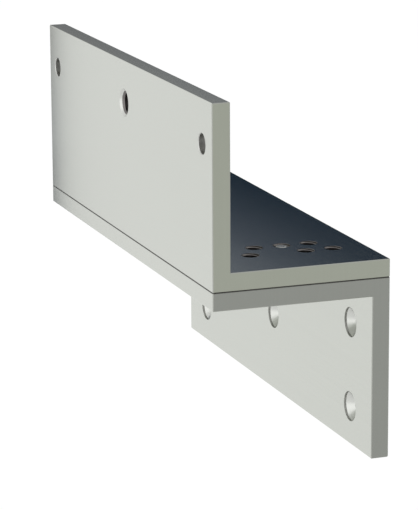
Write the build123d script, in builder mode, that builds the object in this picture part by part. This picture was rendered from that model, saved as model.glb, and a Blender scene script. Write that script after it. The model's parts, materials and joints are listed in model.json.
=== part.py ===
"""Offset mounting bracket: two aluminium angles screwed together shelf to shelf, in a Z.

The lower angle's upright leg is screwed to a wall or a door leaf. The upper angle's upright
leg stands one shelf's depth in front of it, and carries the device. Both are cut from the same
extruded section. Countersunk screws come up through the lower shelf into tapped holes in the
upper one, which has spare tapped holes so that the offset can be set in steps.

Frame, in millimetres: X runs along the bracket, -Y points to the front, and +Z is up. The
origin is the middle of the wall screw pattern, on the back face that lies against the wall.
"""

import os

from build123d import *

# Extruded angle, the section that both pieces are cut from
bracket_length = 175.0
shelf_depth = 60.0  # front face to back face, the outside width of both shelf legs
front_height = 60.0  # upper angle's upright leg, outside
back_height = 60.0  # lower angle's upright leg, outside
wall = 6.0
edge_radius = 0.3  # rounding along the outside corners of the section
root_radius = 0.5  # inside corner of the section
end_deburr = 0.25  # broken edges round the sawn ends

# Countersunk wall screw holes in the lower upright: four at the corners, one in the middle
wall_screw_inset = 18.0  # sawn end in to the outer holes
wall_screw_rise = 28.5  # between the upper and the lower holes
wall_screw_drop = 33.0  # joint between the shelves down to the middle of the pattern
wall_screw_bore = 5.5
wall_sink_width = 10.0
wall_sink_land = 0.8  # straight wall above the countersink's cone

# Front holes in the upper upright: a tapped hole in the middle, a pin hole near each end
front_hole_drop = 14.3  # top edge of the leg down to the row of holes
centre_tap_bore = 6.8
centre_sink_width = 9.6
pin_hole_inset = 9.5  # sawn end in to the pin hole
pin_hole_bore = 6.6

# Tapped holes in the upper shelf, in two rows near each end, half a step apart
tap_bore = 5.0
tap_step = 9.5
tap_row_setback = 25.6  # back face forward to the middle of each row
screw_row_inset = 29.6  # sawn end in to the row that holds the joining screw
spare_row_inset = 20.2
screw_row_steps = (-1, 0, 1)
spare_row_steps = (-1.5, 0.5, 1.5)
hole_deburr = 0.25

# Countersunk socket screws that join the two shelves
screw_length = 11.7
screw_thread = 6.0
screw_core_gap = 0.05  # between the thread's core and the tapped bore
screw_head_width = 12.0
screw_head_rim = 0.3
screw_head_recess = 0.1  # head below the underside of the shelf
screw_seat_gap = 0.02
screw_clearance_bore = 6.6
screw_tip_chamfer = 0.8
socket_width = 4.0  # across flats
socket_depth = 2.3
socket_lead_in = 0.2

SINK_ANGLE = 90

# Places that follow from those sizes
wall_screw_span = bracket_length - 2 * wall_screw_inset
pin_hole_span = bracket_length - 2 * pin_hole_inset
joint_z = wall_screw_drop
front_y = -shelf_depth
front_hole_z = joint_z + front_height - front_hole_drop
tap_row_y = -tap_row_setback
screw_x = bracket_length / 2 - screw_row_inset
screw_head_z = joint_z - wall + screw_head_recess

wall_screw_plane = Plane(origin=(0, -wall, 0), x_dir=(1, 0, 0), z_dir=(0, -1, 0))
front_hole_plane = Plane(origin=(0, front_y, front_hole_z), x_dir=(1, 0, 0), z_dir=(0, -1, 0))
shelf_top_plane = Plane.XY.offset(joint_z + wall)
shelf_underside_plane = Plane(origin=(0, 0, joint_z - wall), x_dir=(1, 0, 0), z_dir=(0, 0, -1))


def angle_section(corner, shelf_end, upright_end):
    """The angle's section on the YZ plane. The outer corner is (y, z), and the legs end at
    y = shelf_end and z = upright_end."""
    y, z = corner
    inner_y = y + wall if shelf_end > y else y - wall
    inner_z = z + wall if upright_end > z else z - wall
    with BuildSketch(Plane.YZ) as section:
        with BuildLine():
            Polyline(
                (y, z),
                (shelf_end, z),
                (shelf_end, inner_z),
                (inner_y, inner_z),
                (inner_y, upright_end),
                (y, upright_end),
                close=True,
            )
        make_face()
        root = section.vertices().sort_by_distance((0, inner_y, inner_z))[0]
        outside = section.vertices() - [root]
        fillet(root, root_radius)
        fillet(outside, edge_radius)
    return section.sketch


def sawn_end_edges(bar):
    """The edges round both sawn ends of an angle."""
    ends = bar.faces().filter_by(Axis.X)
    return ends.edges()


# Upper angle: shelf and the upright front leg
with BuildPart() as upper_angle:
    extrude(
        angle_section((front_y, joint_z), 0, joint_z + front_height),
        amount=bracket_length / 2,
        both=True,
    )
    chamfer(sawn_end_edges(upper_angle), end_deburr)
    with Locations(front_hole_plane):
        CounterSinkHole(
            centre_tap_bore / 2, centre_sink_width / 2, counter_sink_angle=SINK_ANGLE
        )
        with GridLocations(pin_hole_span, 0, 2, 1):
            CounterSinkHole(
                pin_hole_bore / 2,
                pin_hole_bore / 2 + hole_deburr,
                counter_sink_angle=SINK_ANGLE,
            )
    tapped_spots = [
        (side * (bracket_length / 2 - inset), tap_row_y + step * tap_step)
        for side in (-1, 1)
        for inset, steps in (
            (screw_row_inset, screw_row_steps),
            (spare_row_inset, spare_row_steps),
        )
        for step in steps
    ]
    with Locations(shelf_top_plane):
        with Locations(*tapped_spots):
            CounterSinkHole(
                tap_bore / 2, tap_bore / 2 + hole_deburr, counter_sink_angle=SINK_ANGLE
            )

# Lower angle: shelf and the upright back leg
with BuildPart() as lower_angle:
    extrude(
        angle_section((0, joint_z), front_y, joint_z - back_height),
        amount=bracket_length / 2,
        both=True,
    )
    chamfer(sawn_end_edges(lower_angle), end_deburr)
    with Locations(wall_screw_plane.offset(-wall_sink_land)):
        with Locations((0, 0)):
            CounterSinkHole(
                wall_screw_bore / 2, wall_sink_width / 2, counter_sink_angle=SINK_ANGLE
            )
        with GridLocations(wall_screw_span, wall_screw_rise, 2, 2):
            CounterSinkHole(
                wall_screw_bore / 2, wall_sink_width / 2, counter_sink_angle=SINK_ANGLE
            )
    screw_sink_radius = (
        screw_head_width / 2 + screw_head_rim + screw_head_recess + screw_seat_gap
    )
    with Locations(shelf_underside_plane):
        with Locations((-screw_x, -tap_row_y), (screw_x, -tap_row_y)):
            CounterSinkHole(
                screw_clearance_bore / 2, screw_sink_radius, counter_sink_angle=SINK_ANGLE
            )

# Joining screws: the thread is drawn at its core where the tapped bore holds it
core_radius = tap_bore / 2 - screw_core_gap
shank_top_z = joint_z - screw_seat_gap
tip_z = screw_head_z + screw_length
head_radius = screw_head_width / 2
shank_radius = screw_thread / 2
cone_top_z = screw_head_z + screw_head_rim + head_radius - shank_radius

joining_screws = []
for side_name, side in (("left", -1), ("right", 1)):
    axis_plane = Plane(origin=(side * screw_x, tap_row_y, 0), x_dir=(1, 0, 0), z_dir=(0, -1, 0))
    head_plane = Plane(
        origin=(side * screw_x, tap_row_y, screw_head_z), x_dir=(1, 0, 0), z_dir=(0, 0, -1)
    )
    with BuildPart() as screw:
        with BuildSketch(axis_plane):
            with BuildLine():
                Polyline(
                    (0, screw_head_z),
                    (head_radius, screw_head_z),
                    (head_radius, screw_head_z + screw_head_rim),
                    (shank_radius, cone_top_z),
                    (shank_radius, shank_top_z),
                    (core_radius, shank_top_z),
                    (core_radius, tip_z - screw_tip_chamfer),
                    (core_radius - screw_tip_chamfer, tip_z),
                    (0, tip_z),
                    close=True,
                )
            make_face()
        revolve(axis=Axis((side * screw_x, tap_row_y, 0), (0, 0, 1)))
        with BuildSketch(head_plane):
            RegularPolygon(socket_width / 2, 6, major_radius=False)
        extrude(amount=-socket_depth, mode=Mode.SUBTRACT)
        socket_mouth = screw.faces().filter_by(Axis.Z).sort_by(Axis.Z)[0].inner_wires()[0]
        chamfer(socket_mouth.edges(), socket_lead_in)
    screw.part.label = f"{side_name}_joining_screw"
    joining_screws.append(screw.part)

upper_angle.part.label = "upper_angle"
lower_angle.part.label = "lower_angle"

os.makedirs("parts", exist_ok=True)
for piece in (upper_angle.part, lower_angle.part, *joining_screws):
    export_step(piece, f"parts/{piece.label}.step")
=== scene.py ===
import json
import math

import bpy
from mathutils import Matrix, Vector


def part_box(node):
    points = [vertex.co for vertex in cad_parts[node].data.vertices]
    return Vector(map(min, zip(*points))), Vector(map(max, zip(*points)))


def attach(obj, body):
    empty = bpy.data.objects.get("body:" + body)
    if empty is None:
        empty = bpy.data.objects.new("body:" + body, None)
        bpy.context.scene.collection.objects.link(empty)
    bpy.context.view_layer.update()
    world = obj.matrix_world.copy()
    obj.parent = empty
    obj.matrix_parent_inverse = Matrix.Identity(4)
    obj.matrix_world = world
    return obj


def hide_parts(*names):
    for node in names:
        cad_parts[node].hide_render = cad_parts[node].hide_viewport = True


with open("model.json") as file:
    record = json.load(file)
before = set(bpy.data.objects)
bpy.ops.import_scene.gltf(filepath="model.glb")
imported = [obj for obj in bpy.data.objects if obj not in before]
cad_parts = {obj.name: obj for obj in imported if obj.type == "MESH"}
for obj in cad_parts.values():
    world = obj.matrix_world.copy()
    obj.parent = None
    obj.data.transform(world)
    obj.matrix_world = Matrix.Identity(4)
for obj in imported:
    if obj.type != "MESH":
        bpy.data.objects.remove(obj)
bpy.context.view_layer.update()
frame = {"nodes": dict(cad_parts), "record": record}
lowCorner = Vector(map(min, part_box("upper_angle")[0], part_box("lower_angle")[0]))
highCorner = Vector(map(max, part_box("upper_angle")[1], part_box("lower_angle")[1]))
bracketMiddle = (lowCorner + highCorner) / 2
mounts = {mount["name"]: mount for mount in frame["record"]["mounts"]}
mm = 0.001
print("frame loaded")


# the camera looks at the bracket's right-hand end from the front, a little from above
camera = {
    "place": (0.8410, -0.3309, 0.2369),
    "azimuth": 70.306,
    "elevation": 13.452,
    "roll": -0.332,
    "lens": 187.52,
    "sensorWidth": 36,
    "nearest": 0.05,
    "farthest": 50,
}


def makeCamera():
    data = bpy.data.cameras.new("studioCamera")
    data.sensor_width = camera["sensorWidth"]
    data.lens = camera["lens"]
    data.clip_start = camera["nearest"]
    data.clip_end = camera["farthest"]
    eye = bpy.data.objects.new("studioCamera", data)
    bpy.context.scene.collection.objects.link(eye)
    turn = Matrix.Rotation(math.radians(camera["azimuth"]), 4, "Z")
    tilt = Matrix.Rotation(math.radians(90 - camera["elevation"]), 4, "X")
    roll = Matrix.Rotation(math.radians(camera["roll"]), 4, "Z")
    eye.matrix_world = Matrix.Translation(camera["place"]) @ turn @ tilt @ roll
    bpy.context.scene.camera = eye


makeCamera()
print("camera placed")


# shader maths: + - * / on a Wire add Math nodes
class Wire:
    def __init__(self, board, socket):
        self.board = board
        self.socket = socket

    def maths(self, operation, *others, first=None):
        values = (self, *others) if first is None else (first, self)
        return self.board.add(
            "ShaderNodeMath", {"operation": operation}, dict(enumerate(values))
        )

    def __add__(self, other):
        return self.maths("ADD", other)

    def __mul__(self, other):
        return self.maths("MULTIPLY", other)

    def __sub__(self, other):
        return self.maths("SUBTRACT", other)

    def __truediv__(self, other):
        return self.maths("DIVIDE", other)

    def __radd__(self, other):
        return self.maths("ADD", other)

    def __rmul__(self, other):
        return self.maths("MULTIPLY", other)

    def __rsub__(self, other):
        return self.maths("SUBTRACT", first=other)


class Board:
    # the node tree of a material or of the world
    def __init__(self, owner):
        owner.use_nodes = True
        self.tree = owner.node_tree
        self.tree.nodes.clear()

    def add(self, kind, settings=None, inputs=None, output=0):
        node = self.tree.nodes.new(kind)
        for name, value in (settings or {}).items():
            if name == "stops":
                self.setStops(node.color_ramp, value)
            else:
                setattr(node, name, value)
        for name, value in (inputs or {}).items():
            if isinstance(value, Wire):
                self.tree.links.new(value.socket, node.inputs[name])
            else:
                node.inputs[name].default_value = value
        return Wire(self, node.outputs[output]) if node.outputs else node

    def setStops(self, ramp, stops):
        while len(ramp.elements) < len(stops):
            ramp.elements.new(0.5)
        for element, (place, colour) in zip(ramp.elements, stops):
            element.position = place
            element.color = colour

    def noise(self, stretch, scale):
        # noise on the piece's own coordinates, in metres, stretched along each axis
        here = self.add("ShaderNodeTexCoord", None, None, "Object")
        drawn = self.add("ShaderNodeMapping", None, {"Vector": here, "Scale": stretch})
        return self.add("ShaderNodeTexNoise", None, {"Vector": drawn, "Scale": scale})


def metalMaterial(name, finish):
    # a metal whose shade, roughness and relief vary with its marks
    material = bpy.data.materials.new(name)
    board = Board(material)
    relief = None
    rough = finish["rough"]
    tint = 0.0
    for stretch, scale, depth, gloss, shade in finish["marks"]:
        mark = board.noise(stretch, scale) - 0.5
        rough = mark * gloss + rough
        tint = mark * shade + tint
        relief = mark * depth if relief is None else mark * depth + relief
    bump = board.add(
        "ShaderNodeBump", None, {"Strength": 1.0, "Distance": 1.0, "Height": relief}
    )
    colour = board.add(
        "ShaderNodeMix",
        {"data_type": "RGBA"},
        {"Factor": tint + 0.5, "A": finish["dark"], "B": finish["light"]},
        "Result",
    )
    shader = board.add(
        "ShaderNodeBsdfPrincipled",
        None,
        {"Base Color": colour, "Metallic": 1.0, "Roughness": rough, "Normal": bump},
    )
    board.add("ShaderNodeOutputMaterial", None, {"Surface": shader})
    return material


def shades(red, green, blue, spread=0.08):
    # a colour's darker and lighter ends
    dark = [c * (1 - spread) for c in (red, green, blue)]
    light = [c * (1 + spread) for c in (red, green, blue)]
    return {"dark": (*dark, 1), "light": (*light, 1)}


# each mark: stretch along X, Y and Z, scale, depth in metres, then its pull on gloss and shade
finishes = {
    "satinFace": {
        **shades(0.562, 0.580, 0.535),
        "rough": 0.165,
        "marks": [
            ((0.004, 1, 1), 900, 0.4e-6, 0.05, 0.3),
            ((1, 1, 1), 12, 0, 0.02, 0.2),
        ],
    },
    # the sawn ends: dull sawn metal, darkened partly as painted shade for the dim side that they
    # face; the lower end is darker than the upper
    "upperSawnEnd": {
        **shades(0.358, 0.376, 0.318),
        "rough": 0.42,
        "marks": [
            ((0, 1, 0.03), 1600, 3e-6, 0.1, 0.5),
            ((1, 1, 1), 60, 0, 0.05, 0.5),
        ],
    },
    "lowerSawnEnd": {
        **shades(0.29, 0.30, 0.275),
        "rough": 0.42,
        "marks": [
            ((0, 1, 0.03), 1600, 3e-6, 0.1, 0.5),
            ((1, 1, 1), 60, 0, 0.05, 0.5),
        ],
    },
    # the broken edges of the sawn ends: dull deburred metal, darkened as painted shade so that they
    # show a dark line instead of a glint
    "brokenEdge": {
        **shades(0.36, 0.37, 0.34),
        "rough": 0.45,
        "marks": [((1, 1, 1), 900, 2e-6, 0.1, 0.4)],
    },
    # painted shade: the fillets along the joint are coloured almost black to stand for the shade in
    # the groove between the two angles
    "seam": {
        **shades(0.15, 0.15, 0.14),
        "rough": 0.5,
        "marks": [((0.05, 1, 1), 400, 0, 0.1, 0.6)],
    },
    # bare machined metal inside the holes, darkened further as painted shade for the recess; the
    # tapped bores are darkest
    "tappedBore": {
        **shades(0.17, 0.16, 0.155),
        "rough": 0.35,
        "marks": [((0.1, 1, 1), 3000, 2e-6, 0.1, 0.4)],
    },
    "bore": {
        **shades(0.50, 0.50, 0.48),
        "rough": 0.35,
        "marks": [((0.1, 1, 1), 3000, 2e-6, 0.1, 0.4)],
    },
    "cone": {
        **shades(0.60, 0.61, 0.58),
        "rough": 0.34,
        "marks": [((0.1, 1, 1), 3000, 1e-6, 0.05, 0.2)],
    },
    "zincSteel": {
        **shades(0.60, 0.60, 0.57),
        "rough": 0.28,
        "marks": [((1, 1, 1), 900, 1e-6, 0.1, 0.4)],
    },
}
metals = {name: metalMaterial(name, finish) for name, finish in finishes.items()}
print("metals mixed")


# distances under which corners or cuts count as the same, and angles that count as flat
mending = {
    "solidMerge": 0.001 * mm,
    "threadMerge": 0.01 * mm,
    "planeMerge": 0.0001 * mm,
    "flatAngle": math.radians(0.05),
    "smoothAngle": math.radians(32),
}


def deselectAll():
    if bpy.context.object and bpy.context.object.mode == "EDIT":
        bpy.ops.object.mode_set(mode="OBJECT")
    bpy.ops.object.select_all(action="DESELECT")


def takeUp(piece):
    deselectAll()
    piece.select_set(True)
    bpy.context.view_layer.objects.active = piece


def openEdit(piece):
    takeUp(piece)
    bpy.context.tool_settings.mesh_select_mode = (True, False, False)
    bpy.ops.object.mode_set(mode="EDIT")
    bpy.ops.mesh.select_all(action="SELECT")


def closeEdit():
    bpy.ops.object.mode_set(mode="OBJECT")


def copySolid(node, name):
    # a merged copy of a CAD solid, to be worked on
    piece = bpy.data.objects.new(name, frame["nodes"][node].data.copy())
    bpy.context.scene.collection.objects.link(piece)
    piece.data.materials.clear()
    openEdit(piece)
    bpy.ops.mesh.customdata_custom_splitnormals_clear()
    bpy.ops.mesh.remove_doubles(threshold=mending["solidMerge"])
    bpy.ops.mesh.dissolve_limited(angle_limit=mending["flatAngle"])
    closeEdit()
    return piece


def applyModifier(piece, kind, **settings):
    takeUp(piece)
    modifier = piece.modifiers.new(kind.lower(), kind)
    for name, value in settings.items():
        setattr(modifier, name, value)
    bpy.ops.object.modifier_apply(modifier=modifier.name)


def cutWith(piece, tool, operation="DIFFERENCE"):
    applyModifier(piece, "BOOLEAN", operation=operation, solver="EXACT", object=tool)
    bpy.data.objects.remove(tool)


def sliceOff(spot, outward):
    # takes away what lies beyond a plane, in edit mode, and closes the cut
    bpy.ops.mesh.bisect(
        plane_co=spot,
        plane_no=outward,
        use_fill=True,
        clear_outer=True,
        threshold=mending["planeMerge"],
    )


# screw threads: a trapezoid tooth, whose widths at root and crest are shares of the pitch
thread = {
    "tapShares": (0.76, 0.14),
    "screwShares": (0.66, 0.08),
    "steps": 40,
    "leadIn": 1.513,  # turns below the low end, uneven so that no corner lies on that plane
    "spareTurns": 3,
}


def makeThread(name, shares, coreRadius, crestRadius, pitch, low, high):
    # a threaded rod along Z, with square ends at low and high
    rootShare, crestShare = shares
    rise = pitch * (rootShare - crestShare) / 2
    gap = pitch * (1 - rootShare) / 2
    tooth = crestRadius - coreRadius
    deselectAll()
    bpy.ops.mesh.primitive_plane_add(size=pitch, location=(0, 0, 0))
    rod = bpy.context.object
    rod.name = name
    openEdit(rod)
    bpy.ops.mesh.merge(type="CENTER")
    bpy.ops.transform.translate(value=(coreRadius, 0, low - thread["leadIn"] * pitch))
    outline = (
        (0, 0, gap),
        (tooth, 0, rise),
        (0, 0, pitch * crestShare),
        (-tooth, 0, rise),
        (0, 0, gap),
    )
    for step in outline:
        bpy.ops.mesh.extrude_vertices_move(TRANSFORM_OT_translate={"value": step})
    closeEdit()
    turns = math.ceil((high - low) / pitch) + thread["spareTurns"]
    applyModifier(
        rod,
        "SCREW",
        axis="Z",
        screw_offset=pitch,
        iterations=turns,
        steps=thread["steps"],
        render_steps=thread["steps"],
    )
    openEdit(rod)
    bpy.ops.mesh.remove_doubles(threshold=mending["threadMerge"])
    for level, side in ((low, -1), (high, 1)):
        bpy.ops.mesh.select_all(action="SELECT")
        sliceOff((0, 0, level), (0, 0, side))
    bpy.ops.mesh.select_all(action="SELECT")
    bpy.ops.mesh.normals_make_consistent(inside=False)
    closeEdit()
    return rod


def patternSpots(name):
    # the holes' places in a bolt pattern of the record
    mount = mounts[name]
    across = [i for i in range(3) if abs(mount["axis"][i]) < 0.5]
    spots = [Vector(mount["pos_m"])]
    for i, key in zip(across, ("spacing_x_mm", "spacing_y_mm")):
        half = mount["dims"].get(key, 0) / 2 * mm
        if half:
            shift = Vector([half if i == k else 0 for k in range(3)])
            spots = [spot + side * shift for spot in spots for side in (-1, 1)]
    return spots


def joinPieces(pieces):
    deselectAll()
    for piece in pieces:
        piece.select_set(True)
    bpy.context.view_layer.objects.active = pieces[0]
    bpy.ops.object.join()
    return bpy.context.object


def smoothFaces(piece):
    takeUp(piece)
    bpy.ops.object.shade_smooth_by_angle(angle=mending["smoothAngle"])
    applyModifier(piece, "WEIGHTED_NORMAL", mode="FACE_AREA", weight=100, keep_sharp=True)


def finishPiece(piece, finishOf):
    # finishOf(centre, normal) names the finish of a face
    for name in finishes:
        piece.data.materials.append(metals[name])
    names = list(finishes)
    for face in piece.data.polygons:
        face.material_index = names.index(finishOf(face.center, face.normal))
    takeUp(piece)
    bpy.ops.object.material_slot_remove_unused()


def offAxis(point, spot, axis):
    # how far a point is from a hole's axis
    return math.dist(
        [point[i] for i in range(3) if i != axis], [spot[i] for i in range(3) if i != axis]
    )


# threads that the taps cut into the bores, and the wider mouths of the shelf's holes
taps = {
    "shelfCrest": 3.0 * mm,
    "shelfPitch": 1.0 * mm,
    "frontCrest": 4.0 * mm,
    "frontPitch": 1.25 * mm,
    "coreGap": 0.06 * mm,
    "overrun": 0.6 * mm,
    "frontInwards": 4 * mm,  # from the device tap's mount to both ends of its thread
    "frontOutwards": 5 * mm,
    "mouthRadius": 2.95 * mm,
    "mouthDepth": 0.55 * mm,
    "mouthAbove": 0.2 * mm,
    "mouthSides": 64,
    "mountDepth": 0.5 * mm,  # how deep the mounts of the shelf's taps lie under its top
}
screwSpots = [
    (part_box(f"{side}_joining_screw")[0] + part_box(f"{side}_joining_screw")[1]) / 2
    for side in ("left", "right")
]
spareSpots = [
    spot
    for name in ("inner_spare_taps", "outer_spare_taps", "middle_spare_taps")
    for spot in patternSpots(name)
]
shelfSpots = [*spareSpots, *screwSpots]
shelfBore = mounts["inner_spare_taps"]["dims"]["hole_r_mm"] * mm
frontBore = mounts["device_tap"]["dims"]["r_mm"] * mm
frontSpot = Vector(mounts["device_tap"]["pos_m"])
pinSpots = patternSpots("device_pin_holes")
wallSpots = [*patternSpots("wall_screw_pattern"), Vector(mounts["wall_screw_centre"]["pos_m"])]
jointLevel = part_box("upper_angle")[0].z
shelfTop = mounts["inner_spare_taps"]["pos_m"][2] + taps["mountDepth"]

# the extruded section, from the solids' own boxes
section = {
    "wall": shelfTop - jointLevel,
    "edgeRadius": 0.3 * mm,
    "round": [math.radians(angle) for angle in (18, 45, 72)],
    "flat": [math.radians(45)],
}
front, back = lowCorner.y, 0.0
upperInner = (front + section["wall"], shelfTop)
lowerInner = (back - section["wall"], jointLevel - section["wall"])


def shaveEdge(piece, spot, outward, angles):
    # planes across one long edge, tangent to its rounding
    radius = section["edgeRadius"]
    middle = Vector(spot) - Vector(outward) * radius
    for angle in angles:
        turned = Vector((outward[0] * math.cos(angle), outward[1] * math.sin(angle)))
        openEdit(piece)
        sliceOff((0, *(middle + turned * radius)), (0, *turned))
        closeEdit()


# where each finish ends: distances from an edge or a hole's axis, and shares of a face's normal
# along the axis that tell a level face, a wall or a cone
finishEnds = {
    "endDepth": 0.26 * mm,
    "seamReach": 0.31 * mm,
    "seamLevel": 0.99,
    "sawnEnd": 0.9,
    "brokenEdge": 0.2,
    "level": 0.95,
    "cone": 0.3,
    "shelfHole": 3.05 * mm,
    "frontThread": 3.99 * mm,
    "frontCone": 5 * mm,
    "pinHole": 4 * mm,
    "wallHole": 5.1 * mm,
    "screwHole": 6.6 * mm,
    "legMargin": 1 * mm,
    "shelfMargin": 2 * mm,
}


def isNear(point, spots, axis, reach):
    return any(offAxis(point, spot, axis) < reach for spot in spots)


def edgeFinish(centre, normal, sawnEnd):
    # the finish of the sawn ends and of their broken edges, darkened partly as painted shade, and the
    # painted shade in the groove along the joint
    nearEnd = abs(centre.x) > highCorner.x - finishEnds["endDepth"]
    nearJoint = abs(centre.z - jointLevel) < finishEnds["seamReach"]
    # the fillets along the joint take the painted groove shade
    if nearJoint and abs(normal.z) < finishEnds["seamLevel"]:
        return "seam"
    # the sawn end faces take dull sawn metal with painted shade
    if nearEnd and abs(normal.x) > finishEnds["sawnEnd"]:
        return sawnEnd
    # the broken edges take dull deburred metal with painted shade
    if nearEnd and abs(normal.x) > finishEnds["brokenEdge"]:
        return "brokenEdge"
    return None


def makeUpperAngle():
    angle = copySolid("upper_angle", "upperAngle")
    shaveEdge(angle, (front, jointLevel), (-1, -1), section["round"])
    shaveEdge(angle, (front, highCorner.z), (-1, 1), section["round"])
    shaveEdge(angle, (upperInner[0], highCorner.z), (1, 1), section["flat"])
    mouths = []
    above = taps["mouthAbove"]
    for spot in shelfSpots:
        deselectAll()
        bpy.ops.mesh.primitive_cone_add(
            vertices=taps["mouthSides"],
            radius1=taps["mouthRadius"] - taps["mouthDepth"],
            radius2=taps["mouthRadius"] + above,
            depth=taps["mouthDepth"] + above,
            location=(spot.x, spot.y, shelfTop - (taps["mouthDepth"] - above) / 2),
        )
        bpy.ops.object.transform_apply(location=True, rotation=True, scale=True)
        mouths.append(bpy.context.object)
    cutWith(angle, joinPieces(mouths))
    shelfTap = makeThread(
        "shelfTap",
        thread["tapShares"],
        shelfBore - taps["coreGap"],
        taps["shelfCrest"],
        taps["shelfPitch"],
        jointLevel - taps["overrun"],
        shelfTop + taps["overrun"],
    )
    shelfTaps = []
    for spot in shelfSpots:
        tap = shelfTap.copy()
        tap.data = shelfTap.data.copy()
        bpy.context.scene.collection.objects.link(tap)
        tap.data.transform(Matrix.Translation((spot.x, spot.y, 0)))
        shelfTaps.append(tap)
    bpy.data.objects.remove(shelfTap)
    cutWith(angle, joinPieces(shelfTaps))
    frontTap = makeThread(
        "frontTap",
        thread["tapShares"],
        frontBore - taps["coreGap"],
        taps["frontCrest"],
        taps["frontPitch"],
        -taps["frontInwards"],
        taps["frontOutwards"],
    )
    forwards = Matrix.Rotation(math.radians(90), 4, "X")
    frontTap.data.transform(Matrix.Translation(frontSpot) @ forwards)
    cutWith(angle, frontTap)
    smoothFaces(angle)

    def finishOf(centre, normal):
        edge = edgeFinish(centre, normal, "upperSawnEnd")
        if edge:
            return edge
        if abs(normal.z) < finishEnds["level"] and centre.y > upperInner[0] + finishEnds["legMargin"]:
            # hole walls take bare machined metal with painted recess shade
            if isNear(centre, shelfSpots, 2, finishEnds["shelfHole"]):
                return "tappedBore"
        if abs(normal.y) < finishEnds["level"] and centre.z > shelfTop + finishEnds["shelfMargin"]:
            if isNear(centre, [frontSpot], 1, finishEnds["frontThread"]):
                return "tappedBore"
            if isNear(centre, pinSpots, 1, finishEnds["pinHole"]):
                return "bore"
            if isNear(centre, [frontSpot], 1, finishEnds["frontCone"]):
                return "cone"
        return "satinFace"

    finishPiece(angle, finishOf)
    return angle


def makeLowerAngle():
    angle = copySolid("lower_angle", "lowerAngle")
    shaveEdge(angle, (front, jointLevel), (-1, 1), section["round"])
    shaveEdge(angle, (back, jointLevel), (1, 1), section["round"])
    shaveEdge(angle, (front, lowerInner[1]), (-1, -1), section["flat"])
    smoothFaces(angle)

    def finishOf(centre, normal):
        edge = edgeFinish(centre, normal, "lowerSawnEnd")
        if edge:
            return edge
        # hole walls take bare machined metal with painted recess shade, their cones the brighter
        # machined finish
        holes = (
            (1, wallSpots, finishEnds["wallHole"]),
            (2, screwSpots, finishEnds["screwHole"]),
        )
        for axis, spots, reach in holes:
            share = abs(normal[axis])
            if share < finishEnds["level"] and isNear(centre, spots, axis, reach):
                return "cone" if share > finishEnds["cone"] else "bore"
        return "satinFace"

    finishPiece(angle, finishOf)
    return angle


# joining screws: the thread in the shelf runs in step with the tapped holes' thread
joiningScrew = {
    "core": 2.40 * mm,
    "crest": 2.93 * mm,
    "turnsLeftFree": 1,
    "tip": 0.9 * mm,
}


def makeJoiningScrew(side):
    node = f"{side}_joining_screw"
    screw = copySolid(node, f"{side}ScrewWithThread")
    low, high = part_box(node)
    spot = (low + high) / 2
    start = jointLevel - taps["overrun"] + joiningScrew["turnsLeftFree"] * taps["shelfPitch"]
    ridge = makeThread(
        f"{side}Ridge",
        thread["screwShares"],
        joiningScrew["core"],
        joiningScrew["crest"],
        taps["shelfPitch"],
        start,
        high.z - joiningScrew["tip"],
    )
    ridge.data.transform(Matrix.Translation((spot.x, spot.y, 0)))
    cutWith(screw, ridge, "UNION")
    smoothFaces(screw)
    screw.data.materials.append(metals["zincSteel"])
    return screw


pieces = {"upper_angle": makeUpperAngle(), "lower_angle": makeLowerAngle()}
print("angles made")
for node, piece in pieces.items():
    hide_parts(node)
    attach(piece, "root")
for side in ("left", "right"):
    screw = makeJoiningScrew(side)
    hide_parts(f"{side}_joining_screw")
    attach(screw, "root")
print("screws made")


# studio: a pale floor and sky, one soft box in front, and a dark graded card that the shelf mirrors
def shownRays(board):
    # 1 for the rays that show the background: straight, mirrored or through glass
    straight = board.add("ShaderNodeLightPath", None, None, "Is Camera Ray")
    mirrored = board.add("ShaderNodeLightPath", None, None, "Is Glossy Ray")
    through = board.add("ShaderNodeLightPath", None, None, "Is Transmission Ray")
    return straight.maths("MAXIMUM", mirrored).maths("MAXIMUM", through)


sky = {
    "colour": (1, 1, 1, 1),
    "light": 0.7,
    "show": 1.0,
}


def makeWorld():
    world = bpy.data.worlds.new("studioWorld")
    bpy.context.scene.world = world
    board = Board(world)
    lit, shown = (
        board.add("ShaderNodeBackground", None, {"Color": sky["colour"], "Strength": sky[strength]})
        for strength in ("light", "show")
    )
    mixed = board.add("ShaderNodeMixShader", None, {0: shownRays(board), 1: lit, 2: shown})
    board.add("ShaderNodeOutputWorld", None, {"Surface": mixed})


paleFloor = {
    "drop": 0.30,  # below the bracket's lowest corner
    "width": 8,
    "matt": (0.9, 0.9, 0.9, 1),
    "colour": (1, 1, 1, 1),
    "glow": 1.04,
    "show": 0.93,
}


def makeFloor():
    deselectAll()
    level = lowCorner.z - paleFloor["drop"]
    bpy.ops.mesh.primitive_plane_add(size=paleFloor["width"], location=(0, 0, level))
    floor = bpy.context.object
    floor.name = "floor"
    material = bpy.data.materials.new("paleFloor")
    board = Board(material)
    matt = board.add("ShaderNodeBsdfDiffuse", None, {"Color": paleFloor["matt"]})
    shown = board.add(
        "ShaderNodeEmission", None, {"Color": paleFloor["colour"], "Strength": paleFloor["glow"]}
    )
    share = shownRays(board) * paleFloor["show"]
    mixed = board.add("ShaderNodeMixShader", None, {0: share, 1: matt, 2: shown})
    board.add("ShaderNodeOutputMaterial", None, {"Surface": mixed})
    floor.data.materials.append(material)


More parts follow.
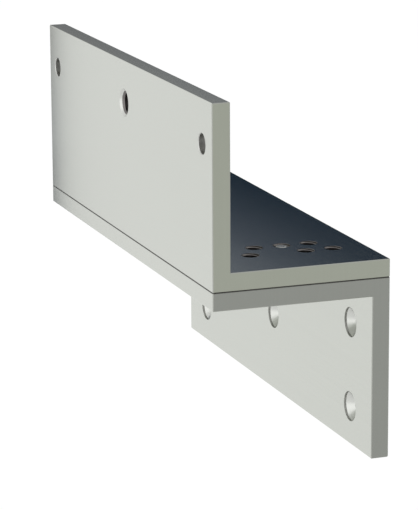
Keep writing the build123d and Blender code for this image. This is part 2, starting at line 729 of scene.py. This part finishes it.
gradedCard = {
    "place": (-0.20, 0.2155, 0.14),
    "size": (0.62, 0.34),
    "slant": 0.6,
    "reach": 0.2,
    "glow": 1.0,
    "stops": [
        (0.20, (0.006, 0.018, 0.034, 1)),
        (0.36, (0.060, 0.075, 0.105, 1)),
        (0.42, (0.17, 0.19, 0.23, 1)),
        (0.64, (0.19, 0.195, 0.20, 1)),
        (0.72, (0.29, 0.295, 0.29, 1)),
        (1.00, (0.90, 0.90, 0.90, 1)),
    ],
}


def makeGradedCard():
    # it stands on the left, across the bracket, and grows lighter upwards and to the front
    deselectAll()
    bpy.ops.mesh.primitive_plane_add(size=1, location=(0, 0, 0))
    card = bpy.context.object
    card.name = "gradedCard"
    wide, high = gradedCard["size"]
    place = Matrix.Translation(gradedCard["place"]) @ Matrix.Rotation(math.radians(90), 4, "Y")
    card.data.transform(place @ Matrix.Diagonal((high, wide, 1, 1)))
    material = bpy.data.materials.new("gradedCard")
    board = Board(material)
    here = board.add("ShaderNodeTexCoord", None, None, "Object")
    inwards = board.add("ShaderNodeSeparateXYZ", None, {"Vector": here}, "Y")
    up = board.add("ShaderNodeSeparateXYZ", None, {"Vector": here}, "Z")
    level = (up - inwards * gradedCard["slant"]) / gradedCard["reach"]
    colour = board.add("ShaderNodeValToRGB", {"stops": gradedCard["stops"]}, {0: level})
    glow = board.add("ShaderNodeEmission", None, {"Color": colour, "Strength": gradedCard["glow"]})
    board.add("ShaderNodeOutputMaterial", None, {"Surface": glow})
    card.data.materials.append(material)
    card.visible_camera = False
    card.visible_shadow = False


frontBox = {
    "place": (0.35, -1.2, 0.1),
    "size": (2.4, 1.8),
    "power": 6,
}


def makeFrontBox():
    # a soft box that faces the middle of the bracket
    data = bpy.data.lights.new("frontBox", "AREA")
    data.shape = "RECTANGLE"
    data.size, data.size_y = frontBox["size"]
    data.energy = frontBox["power"]
    lamp = bpy.data.objects.new("frontBox", data)
    bpy.context.scene.collection.objects.link(lamp)
    lamp.location = frontBox["place"]
    lamp.rotation_mode = "QUATERNION"
    towards = bracketMiddle - Vector(frontBox["place"])
    lamp.rotation_quaternion = towards.to_track_quat("-Z", "Y")
    lamp.visible_camera = False


makeWorld()
makeFloor()
makeGradedCard()
makeFrontBox()
print("studio set")

bpy.context.scene.view_settings.view_transform = "Standard"
